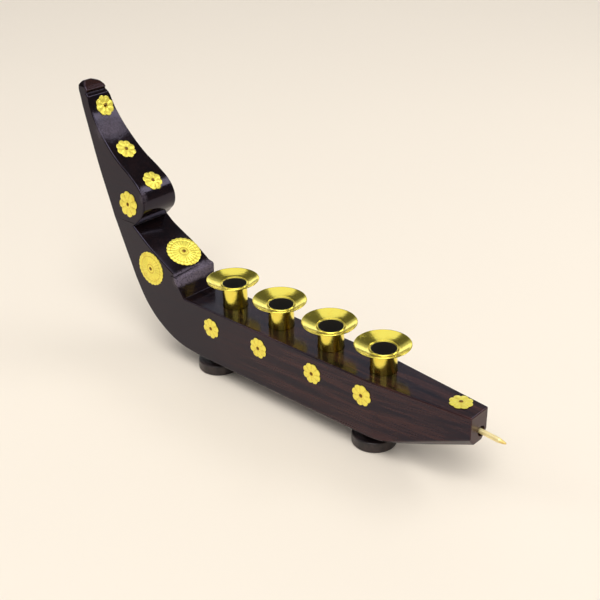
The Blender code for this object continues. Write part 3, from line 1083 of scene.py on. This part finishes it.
    def _roughness(self, point: Vector) -> tuple[float, RoughPatch]:
        """Returns how far inside a rough place a point lies, from 0 to 1, and which."""
        at = self.datum.station(point)
        best = (0.0, self.rough_patches[0])
        for patch in self.rough_patches:
            away = math.sqrt(sum(((at[i] - patch.centre[i]) / patch.reach[i]) ** 2 for i in range(3)))
            if 1.0 - away > best[0]:
                best = (1.0 - away, patch)
        return best

    def _bore(self, bm: bmesh.types.BMesh, cups: Sequence["Cup"], pin: "BowPin") -> bmesh.types.BMesh:
        """Bores the cups' seats and the pin's ragged hole.

        Args:
            bm: The hull, which is freed.
            cups: The cups.
            pin: The bow's pin.

        Returns:
            The bored hull.
        """
        block = linked("hull_boring", bm)
        drills = bmesh.new()
        for cup in cups:
            self._drill(drills, cup.tube_place, self.seat_radius, self.seat_depth, 48)
        seats = linked("seats", drills)
        ragged = bmesh.new()
        self._drill(ragged, pin.place, pin.hole_radius, pin.hole_depth, 28)
        middle_line = pin.place.to_3x3().col[2]
        for vert in ragged.verts:
            away = vert.co - pin.place.translation
            swell = 1.0 + 0.26 * noise.noise(vert.co * 900.0) + 0.1 * noise.noise(vert.co * 2100.0)
            lift = middle_line * away.dot(middle_line)
            vert.co = pin.place.translation + lift + (away - lift) * swell
        mouth = linked("ragged_hole", ragged)
        for cutter in (seats, mouth):
            hole = block.modifiers.new(cutter.name, "BOOLEAN")
            hole.operation = "DIFFERENCE"
            hole.solver = "EXACT"
            hole.object = cutter
        bored = self._applied(block)
        for cutter in (seats, mouth):
            bpy.data.objects.remove(cutter, do_unlink=True)
        return bored

    def _drill(
        self, bm: bmesh.types.BMesh, place: Matrix, radius: float, depth: float, sides: int
    ) -> None:
        """Adds a drill to a mesh.

        Args:
            bm: The mesh.
            place: Frame of the hole's mouth, its Z axis out of the wood.
            radius: The drill's radius.
            depth: How deep it goes.
            sides: Number of its sides.
        """
        halfway = Matrix.Translation((0.0, 0.0, (self.run_in - depth) / 2.0 * MM))
        bmesh.ops.create_cone(
            bm,
            cap_ends=True,
            segments=sides,
            radius1=radius * MM,
            radius2=radius * MM,
            depth=(self.run_in + depth) * MM,
            matrix=place @ halfway,
        )

    def _mark_end_grain(self, bm: bmesh.types.BMesh) -> None:
        """Marks the bow's end face and the cap's top, where the fibres end."""
        layer = bm.verts.layers.float.new("end_grain")
        for vert in bm.verts:
            at = self.datum.station(vert.co)
            bow = ease((at.x - self.bow_end + 0.5) / 0.5)
            cap = 0.0
            if at.x < self.cap_foot[0] and at.z > self.cap_foot[1]:
                cap = self.cap_end_grain * ease((vert.normal.x - 0.1) * 3.0)
            vert[layer] = max(bow, cap)

    def build(self, finish: bpy.types.Material, cups: Sequence["Cup"], pin: "BowPin") -> Piece:
        """Builds the hull and keeps its surface, for what is nailed to it.

        Args:
            finish: The rosewood.
            cups: The cups, whose seats are bored.
            pin: The bow's pin.

        Returns:
            The hull.
        """
        bm = self._blank()
        self._taper(bm)
        self._pare(bm)
        self._mark_roundings(bm)
        bm = self._round(bm)
        self._carve(bm)
        bm = self._bore(bm, cups, pin)
        bm.normal_update()
        self._mark_end_grain(bm)
        surface = bm.copy()
        bmesh.ops.triangulate(surface, faces=surface.faces)
        self.tree = BVHTree.FromBMesh(surface)
        surface.free()
        return Piece("hull_carved", bm, finish).crease(38.0).install(STAND, "rosewood", "hull")


# ------------------------------------------------------------------------------------------ turned parts


def along_profile(bm: bmesh.types.BMesh) -> None:
    """Writes each vertex's distance along the profile, so that lathe rings can follow it."""
    layer = bm.verts.layers.float.new("along")
    for vert in bm.verts:
        vert[layer] = math.hypot(vert.co.x, vert.co.y) - vert.co.z


@dataclass
class Cup:
    """A spun brass cup: a tube in its seat with a shallow dish round the mouth."""

    index: int
    rim_radius: float = 15.0
    rim_z: float = 15.6
    dish_z: float = 12.75
    bead_radius: float = 7.85
    bore_radius: float = 6.72
    tube_radius: float = 7.1
    off_centre: tuple[float, ...] = (0.85, 0.7, 0.7, 0.45)
    off_direction: tuple[float, float] = (0.74, 0.67)
    bottom_z: float = -12.0
    floor: float = 1.0
    sheet: float = 0.55
    dish_curve: float = 1.35
    dish_steps: int = 12
    steps: int = 96
    wobble: float = 0.10
    place: Matrix = field(init=False)
    tube_place: Matrix = field(init=False)

    def __post_init__(self) -> None:
        """Finds the cup's frame from its joint and its CAD node."""
        name = f"cup_{self.index}"
        joint = next(joint for joint in frame["joints"] if joint["child"] == name)
        self.place = seat(node_points(name), Vector(joint["axis"]).normalized(), self.bottom_z * MM)
        self.tube_place = self.place @ Matrix.Translation(self._aside())

    def _aside(self) -> Vector:
        """Returns how far the tube stands off the rim's centre."""
        return Vector((*self.off_direction, 0.0)) * self.off_centre[self.index - 1] * MM

    def _dish(self, share: float) -> tuple[float, float]:
        """Returns the dish's upper side at a share of the way from the bead to the lip."""
        radius = self.bead_radius + share * (self.rim_radius - 0.6 - self.bead_radius)
        return radius, self.dish_z + share**self.dish_curve * (self.rim_z - 0.12 - self.dish_z)

    def profile(self) -> list[tuple[float, float]]:
        """Returns the profile from the bore's floor, over the lip and down the tube."""
        bore = [
            (0.0, self.bottom_z + self.floor),
            (self.bore_radius, self.bottom_z + self.floor),
            (self.bore_radius, self.dish_z - 2.0),
            (self.bore_radius, self.dish_z - 0.35),
            (self.bore_radius + 0.06, self.dish_z - 0.12),
            (self.bore_radius + 0.24, self.dish_z + 0.02),
        ]
        bead = [
            (self.bead_radius - 0.62, self.dish_z + 0.14),
            (self.bead_radius - 0.30, self.dish_z + 0.06),
            (self.bead_radius - 0.12, self.dish_z - 0.12),
            (self.bead_radius - 0.01, self.dish_z - 0.22),
            (self.bead_radius + 0.12, self.dish_z - 0.10),
        ]
        top = [self._dish(i / self.dish_steps) for i in range(1, self.dish_steps + 1)]
        lip_centre = (self.rim_radius - 0.32, self.rim_z - 0.34)
        lip = [
            (lip_centre[0] + 0.31 * math.cos(turn), lip_centre[1] + 0.33 * math.sin(turn))
            for turn in (math.radians(100.0 - 25.0 * i) for i in range(9))
        ]
        under = [
            (radius, height - self.sheet) for radius, height in (self._dish(i / 8) for i in range(7, 0, -1))
        ]
        neck = [
            (self.tube_radius + 0.62, self.dish_z - 0.78),
            (self.tube_radius + 0.28, self.dish_z - 1.05),
            (self.tube_radius + 0.08, self.dish_z - 1.5),
            (self.tube_radius, self.dish_z - 2.2),
        ]
        tube = [
            (self.tube_radius, 6.0),
            (self.tube_radius, 0.0),
            (self.tube_radius, self.bottom_z + 0.4),
            (self.tube_radius - 0.4, self.bottom_z),
            (0.0, self.bottom_z),
        ]
        return bore + bead + top + lip + under + neck + tube

    def build(self, finish: bpy.types.Material) -> Piece:
        """Builds the cup in a finish."""
        bm = spun(self.profile(), self.steps)
        along_profile(bm)
        dark_bore = bm.verts.layers.float.new("dark_bore")
        shade_and_patina = bm.verts.layers.float.new("shade_and_patina")
        for vert in bm.verts:
            radius = math.hypot(vert.co.x, vert.co.y) / MM
            height = vert.co.z / MM
            # The inside of the bore is coloured near black, matt and not metallic.
            inside = radius < self.bore_radius + 0.1 and height > self.bottom_z + self.floor - 0.1
            vert[dark_bore] = 1.0 if inside else 0.0
            # The crease of the bead round the bore is painted darker: painted shade.
            crease = hump(radius - self.bead_radius, 0.16)
            vert[shade_and_patina] = crease if height > self.dish_z - 0.3 else 0.0
            flare = (radius - self.bead_radius) / (self.rim_radius - self.bead_radius)
            vert.co += self._aside() * (1.0 - ease(flare))
            if radius > self.bead_radius + 0.3 and height > self.dish_z - self.sheet - 0.2:
                turn = math.atan2(vert.co.y, vert.co.x)
                circle = Vector((math.cos(turn), math.sin(turn), self.index * 3.7))
                dents = noise.noise(circle * 1.4) + 0.35 * noise.noise(circle * 4.0)
                vert.co.z += min(0.0, self.wobble * dents - 0.04) * flare * MM
        bmesh.ops.transform(bm, matrix=self.place, verts=bm.verts)
        name = f"cup_{self.index}"
        return Piece(f"{name}_spun", bm, finish).crease(60.0).install(name, "cup_brass", name)


@dataclass
class Foot:
    """A turned disc on a neck."""

    node: str
    disc: float = 6.3
    edge: float = 1.1
    neck_radius: float = 5.2
    tenon_radius: float = 3.6
    sunk: float = 0.15
    groove: float = 0.16
    steps: int = 80

    def build(self, finish: bpy.types.Material) -> Piece:
        """Builds the foot in a finish."""
        low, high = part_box(self.node)
        radius = (high.x - low.x) / 2.0 / MM
        top = (high.z - low.z) / MM
        hull_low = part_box("hull")[0].z / MM - self.sunk
        profile = fillet(
            (
                (0.0, 0.0, 0.0),
                (radius, 0.0, self.edge),
                (radius, self.disc, self.edge),
                (self.neck_radius, self.disc + 0.05, 0.5),
                (self.neck_radius, hull_low, 0.0),
                (self.tenon_radius, hull_low, 0.0),
                (self.tenon_radius, top, 0.0),
                (0.0, top, 0.0),
            )
        )
        grooved = []
        for r, z in profile:
            depth = self.groove * hump(z - self.disc * 0.68, 0.30) if r > radius - 0.3 else 0.0
            grooved.append((r - depth, z))
        bm = spun(grooved, self.steps)
        along_profile(bm)
        centre = Vector(((low.x + high.x) / 2.0, (low.y + high.y) / 2.0, low.z))
        bmesh.ops.translate(bm, verts=bm.verts, vec=centre)
        return Piece(f"{self.node}_turned", bm, finish).crease(40.0).install(STAND, "turned_wood", self.node)


@dataclass
class BowPin:
    """The pointed brass pin in the bow's end."""

    node: str = "bow_spike"
    hole_radius: float = 2.9
    hole_depth: float = 3.0
    buried: float = 13.0
    radius: float = 1.4
    tip: float = 3.6
    steps: int = 40
    place: Matrix = field(init=False)
    out: float = field(init=False)

    def __post_init__(self) -> None:
        """Finds the pin's frame: its origin at the mouth of the hole, its Z axis out along the pin."""
        points = node_points(self.node)
        tip = max(points, key=lambda point: point.x)
        centre = middle(points)
        axis = (tip - centre).normalized()
        inner = min(point.dot(axis) for point in points)
        foot = tip - axis * (tip.dot(axis) - inner)
        self.place = facing(axis, foot + axis * self.buried * MM)
        self.out = (tip - foot).length / MM - self.buried

    def build(self, finish: bpy.types.Material) -> Piece:
        """Builds the pin in a finish."""
        shoulder = self.out - self.tip
        profile = [
            (0.0, -self.buried),
            (self.radius, -self.buried),
            (self.radius, -2.0),
            (self.radius, 2.0),
            (self.radius * 0.98, shoulder - 0.7),
            (self.radius * 0.95, shoulder - 0.15),
            (self.radius * 0.80, shoulder + 0.05),
            (self.radius * 0.66, shoulder + self.tip * 0.40),
            (self.radius * 0.42, shoulder + self.tip * 0.78),
            (self.radius * 0.24, shoulder + self.tip * 0.95),
            (0.0, shoulder + self.tip),
        ]
        bm = spun(profile, self.steps)
        shade_and_patina = bm.verts.layers.float.new("shade_and_patina")
        # The pin's point is painted darker: painted shade and painted dark reflection on the tip.
        for vert in bm.verts:
            vert[shade_and_patina] = 0.85 * ease((vert.co.z / MM - shoulder + 0.3) / 0.6)
        bmesh.ops.transform(bm, matrix=self.place, verts=bm.verts)
        return Piece("bow_spike_turned", bm, finish).crease(50.0).install(STAND, "spike_brass", self.node)


# --------------------------------------------------------------------------------------- stamped flowers


@dataclass(frozen=True)
class FlowerShape:
    """The stamping die of one size of flower.

    Attributes:
        radius: Outer radius.
        petals: Number of petals round its edge.
        valley: Depth of the notch between petals, as a share of the radius.
        beads: Number of beads in the ring near its edge, or 0.
        per_petal: Mesh steps in each petal.
        rings: Mesh rings from the middle to the edge.
    """

    radius: float
    petals: int
    valley: float
    beads: int
    per_petal: int
    rings: int

    def edge(self, turn: float) -> float:
        """Returns the outer radius in a direction."""
        return self.radius * (1.0 - self.valley * (1.0 - abs(math.cos(turn * self.petals / 2.0)) ** 0.8))

    def relief(self, share: float, turn: float) -> float:
        """Returns the stamped height at a share of the way to the edge."""
        ridge = math.cos(turn * self.petals / 2.0) ** 2
        dome = 0.34 * (1.0 - share**2)
        if self.beads:
            beads = math.cos(turn * self.beads / 2.0) ** 2
            bead = 0.36 * hump(share - 0.86, 0.055) * beads
            ray = 0.20 * beads * ease((share - 0.30) / 0.1) * ease((0.78 - share) / 0.06)
            ring = -0.16 * hump(share - 0.76, 0.025) - 0.16 * hump(share - 0.26, 0.03)
            return dome + bead + ray + ring
        petal = 0.16 * ridge**0.7 * hump(share - 0.66, 0.24)
        split = -0.12 * (1.0 - ridge) ** 6 * ease((share - 0.36) / 0.15)
        edge = 0.10 * hump(share - 0.93, 0.05)
        groove = -0.09 * hump(share - 0.34, 0.04)
        return dome + petal + split + edge + groove


class Flower(Enum):
    """The three sizes of stamped flower."""

    SMALL = FlowerShape(6.0, 8, 0.15, 0, 12, 16)
    MIDDLE = FlowerShape(7.7, 8, 0.16, 0, 12, 18)
    LARGE = FlowerShape(10.4, 24, 0.04, 24, 10, 28)


@dataclass
class Rosette:
    """A stamped brass flower and the tack that holds it."""

    suffix: str
    flower: Flower
    tack_off: tuple[float, float] = (0.0, 0.0)
    spin_degrees: float = 0.0
    hole: float = 0.7
    sheet: float = 0.26
    lift: float = 0.06
    drop: float = 0.24
    deepest: float = 1.6
    follow: float = 0.9
    head_radius: float = 0.95
    head: float = 0.42
    hammered: float = 0.07
    shank_radius: float = 0.42
    shank: float = 2.5
    place: Matrix = field(init=False)

    def __post_init__(self) -> None:
        """Finds the flower's frame: its origin at the middle of its back, its Z axis out of the wood."""
        flower = node_points(f"rosette_{self.suffix}")
        tack = node_points(f"tack_{self.suffix}")
        normal = (middle(flower) - middle(tack)).normalized()
        turn = Matrix.Rotation(math.radians(self.spin_degrees), 4, "Z")
        self.place = seat(flower, normal, 0.0) @ turn

    def _settle(self, bm: bmesh.types.BMesh, tree: BVHTree) -> None:
        """Presses a mesh that is in the flower's frame onto the wood, and moves it into place.

        Args:
            bm: The mesh.
            tree: The wood's surface.
        """
        normal = self.place.to_3x3().col[2].normalized()
        reach = 4.0 * MM
        for vert in bm.verts:
            flat = self.place @ Vector((vert.co.x, vert.co.y, 0.0))
            hit, _, _, distance = tree.ray_cast(flat + normal * reach, -normal, 3.0 * reach)
            fall = (distance - reach) if hit else self.drop * MM
            fall = min(fall, self.deepest * MM)
            vert.co.z += (self.lift - fall / MM * self.follow) * MM
        bmesh.ops.transform(bm, matrix=self.place, verts=bm.verts)

    def _stamp(self) -> bmesh.types.BMesh:
        """Stamps the flower in its own frame."""
        shape = self.flower.value
        line = [
            (self.hole + (shape.radius - self.hole) * ring / shape.rings, 0.0) for ring in range(shape.rings + 1)
        ]
        bm = spun(line, shape.petals * shape.per_petal)
        shade_and_patina = bm.verts.layers.float.new("shade_and_patina")
        for vert in bm.verts:
            radius = math.hypot(vert.co.x, vert.co.y) / MM
            turn = math.atan2(vert.co.y, vert.co.x)
            share = radius / shape.radius
            grown = radius * (1.0 + ease((share - 0.3) / 0.7) * (shape.edge(turn) / shape.radius - 1.0))
            height = shape.relief(share, turn)
            # The relief's hollows and a ring round the tack are painted darker, partly patina and partly painted
            # shade.
            sunk = 0.9 * ease((0.34 * (1.0 - share**2) - height) / 0.14 - 0.1)
            vert[shade_and_patina] = max(sunk, ease((self.head_radius + 0.5 - radius) / 0.4))
            vert.co = Vector((math.cos(turn) * grown, math.sin(turn) * grown, height)) * MM
        for face in bm.faces:
            face.normal_update()
            if face.normal.z < 0.0:
                face.normal_flip()
        bmesh.ops.solidify(bm, geom=bm.verts[:] + bm.edges[:] + bm.faces[:], thickness=-self.sheet * MM)
        bmesh.ops.recalc_face_normals(bm, faces=bm.faces)
        return bm

    def _tack(self) -> bmesh.types.BMesh:
        """Makes the tack in the flower's frame, its head on the flower's boss."""
        under = self.flower.value.relief(0.1, 0.0) + self.sheet + 0.02
        r, h = self.head_radius, self.head
        profile = [
            (0.0, under + h),
            (r * 0.35, under + h * 0.95),
            (r * 0.68, under + h * 0.72),
            (r * 0.92, under + h * 0.38),
            (r, under + h * 0.12),
            (r * 0.96, under),
            (self.shank_radius, under - 0.02),
            (self.shank_radius, -self.shank),
            (0.0, -self.shank - 0.8),
        ]
        bm = spun(profile, 20)
        for vert in bm.verts:
            if vert.co.z > under * MM:
                spot = Vector((vert.co.x * 900.0, vert.co.y * 900.0, len(self.suffix)))
                vert.co.z += self.hammered * noise.noise(spot) * MM
        aside = (self.tack_off[0] * MM, self.tack_off[1] * MM, 0.0)
        bmesh.ops.translate(bm, verts=bm.verts, vec=aside)
        return bm

    def build(self, tree: BVHTree, finishes: Finishes) -> None:
        """Builds the flower and its tack on the wood.

        Args:
            tree: The wood's surface.
            finishes: The object's finishes.
        """
        flower = self._stamp()
        self._settle(flower, tree)
        name = f"rosette_{self.suffix}"
        stamped = Piece(f"{name}_stamped", flower, finishes.rosette).crease(50.0)
        stamped.install(STAND, "rosette_brass", name)
        tack = self._tack()
        driven = self.place @ Matrix.Translation((0.0, 0.0, -self.drop * MM))
        bmesh.ops.transform(tack, matrix=driven, verts=tack.verts)
        name = f"tack_{self.suffix}"
        Piece(f"{name}_driven", tack, finishes.tack).crease(50.0).install(STAND, "tack_metal", name)


# ------------------------------------------------------------------------------------------------ studio


@dataclass(frozen=True)
class Softbox:
    """A large soft lamp.

    Attributes:
        name: What it is.
        at: Where it hangs, in metres.
        size: Its width and height, in metres.
        power: Its power, in watts.
        colour: Its colour.
    """

    name: str
    at: Triple
    size: tuple[float, float]
    power: float
    colour: Colour = (1.0, 1.0, 1.0)

    def build(self, aim: Vector) -> None:
        """Hangs the lamp so that it faces a point."""
        lamp = bpy.data.lights.new(self.name, "AREA")
        lamp.shape = "RECTANGLE"
        lamp.size, lamp.size_y = self.size
        lamp.energy = self.power
        lamp.color = self.colour
        item = bpy.data.objects.new(self.name, lamp)
        bpy.context.scene.collection.objects.link(item)
        back = (Vector(self.at) - aim).normalized()
        right = Vector((0.0, 0.0, 1.0)).cross(back).normalized()
        turn = Matrix((right, back.cross(right), back)).transposed().to_4x4()
        item.matrix_world = Matrix.Translation(Vector(self.at)) @ turn


@dataclass
class Studio:
    """The pale floor, the soft lamps and the camera."""

    floor_half: float = 8.0
    sky: tuple[tuple[float, float], ...] = ((0.0, 0.16), (0.30, 0.12), (0.80, 0.10), (1.0, 0.10))
    sky_colour: Colour = (0.97, 0.98, 1.0)
    sky_strength: float = 1.0
    boxes: tuple[Softbox, ...] = (
        Softbox("key", (0.56, 0.76, 0.90), (0.8, 0.30), 3.4),
        Softbox("ceiling", (-0.1, -0.2, 2.6), (2.8, 2.8), 22.0),
        Softbox("front", (1.5, -1.8, 3.4), (2.8, 2.8), 133.0),
        Softbox("rear", (-1.29, 1.53, 0.62), (2.6, 0.56), 4.2),
        Softbox("wall", (-1.6, 1.9, 1.0), (3.4, 1.3), 5.4, (0.85, 0.88, 1.0)),
        Softbox("edge", (-0.90, -0.66, 0.98), (0.4, 0.4), 1.6),
    )
    eye: Triple = (0.3713, -0.3900, 0.3430)
    azimuth: float = 42.197
    elevation: float = 27.694
    roll: float = -0.535
    lens: float = 66.64
    sensor: float = 36.0

    def build(self) -> None:
        """Builds the studio."""
        self._floor()
        self._light()
        self._camera()

    def _floor(self) -> None:
        """Lays the floor under the feet."""
        bm = bmesh.new()
        bmesh.ops.create_grid(bm, x_segments=1, y_segments=1, size=self.floor_half)
        floor = linked("floor", bm)
        floor.data.materials.append(PalePaper().build())

    def _light(self) -> None:
        """Sets the even surroundings and hangs the lamps."""
        scene = bpy.context.scene
        world = bpy.data.worlds.new("studio")
        world.use_nodes = True
        graph = Graph(world.node_tree)
        height = graph.add("SeparateXYZ")
        graph.feed(height.inputs[0], graph.add("TexCoord").outputs["Generated"])
        ramp = graph.add("ValToRGB")
        graph.feed(ramp.inputs[0], height.outputs["Z"])
        while len(ramp.color_ramp.elements) < len(self.sky):
            ramp.color_ramp.elements.new(0.5)
        for stop, (sine, level) in zip(ramp.color_ramp.elements, self.sky):
            stop.position = sine
            stop.color = (*(level * part for part in self.sky_colour), 1.0)
        background = world.node_tree.nodes["Background"]
        graph.feed(background.inputs["Color"], ramp.outputs[0])
        background.inputs["Strength"].default_value = self.sky_strength
        scene.world = world
        scene.view_settings.view_transform = "Standard"
        low, high = cad_box
        for box in self.boxes:
            box.build((low + high) / 2.0)

    def _camera(self) -> None:
        """Sets up the camera."""
        a, e, roll = (math.radians(value) for value in (self.azimuth, self.elevation, self.roll))
        back = Vector((math.sin(a) * math.cos(e), -math.cos(a) * math.cos(e), math.sin(e)))
        right = Vector((math.cos(a), math.sin(a), 0.0))
        up = back.cross(right)
        leaned_right = right * math.cos(roll) + up * math.sin(roll)
        leaned_up = up * math.cos(roll) - right * math.sin(roll)
        camera = bpy.data.cameras.new("camera")
        camera.lens = self.lens
        camera.sensor_width = self.sensor
        camera.clip_start = 0.01
        item = bpy.data.objects.new("camera", camera)
        bpy.context.scene.collection.objects.link(item)
        turn = Matrix((leaned_right, leaned_up, back)).transposed().to_4x4()
        item.matrix_world = Matrix.Translation(Vector(self.eye)) @ turn
        bpy.context.scene.camera = item


# -------------------------------------------------------------------------------------------------- main


def rosettes() -> Iterable[Rosette]:
    """Yields every flower, from the cap down the stern's front to the bow, then both sides."""
    yield Rosette("cap", Flower.SMALL, (-0.2, 0.3), 8.0)
    yield Rosette("scoop", Flower.SMALL, spin_degrees=4.0)
    yield Rosette("lobe", Flower.SMALL, spin_degrees=15.0)
    yield Rosette("ramp", Flower.LARGE)
    yield Rosette("bow", Flower.SMALL, spin_degrees=12.0)
    for side, sign in (("near", 1.0), ("far", -1.0)):
        yield Rosette(f"curl_{side}", Flower.MIDDLE, spin_degrees=10.0 * sign)
        yield Rosette(f"haunch_{side}", Flower.LARGE)
        for number in range(1, 5):
            yield Rosette(f"side_{number}_{side}", Flower.SMALL, spin_degrees=(7.0 * number + 5.0) * sign)


def main() -> None:
    """Builds the object's looks piece by piece, then the studio."""
    logging.basicConfig(level=logging.INFO, format="%(message)s")
    effects = Effects()
    hull = Hull()
    finishes = Finishes(effects, hull)
    cups = [Cup(index) for index in range(1, 5)]
    pin = BowPin()
    hull.build(finishes.rosewood, cups, pin)
    for cup in cups:
        cup.build(finishes.cup)
    for node in ("foot_stern", "foot_bow"):
        Foot(node).build(finishes.turned_wood)
    pin.build(finishes.spike)
    for rosette in rosettes():
        rosette.build(hull.tree, finishes)
    Studio().build()


if __name__ == "__main__":
    main()
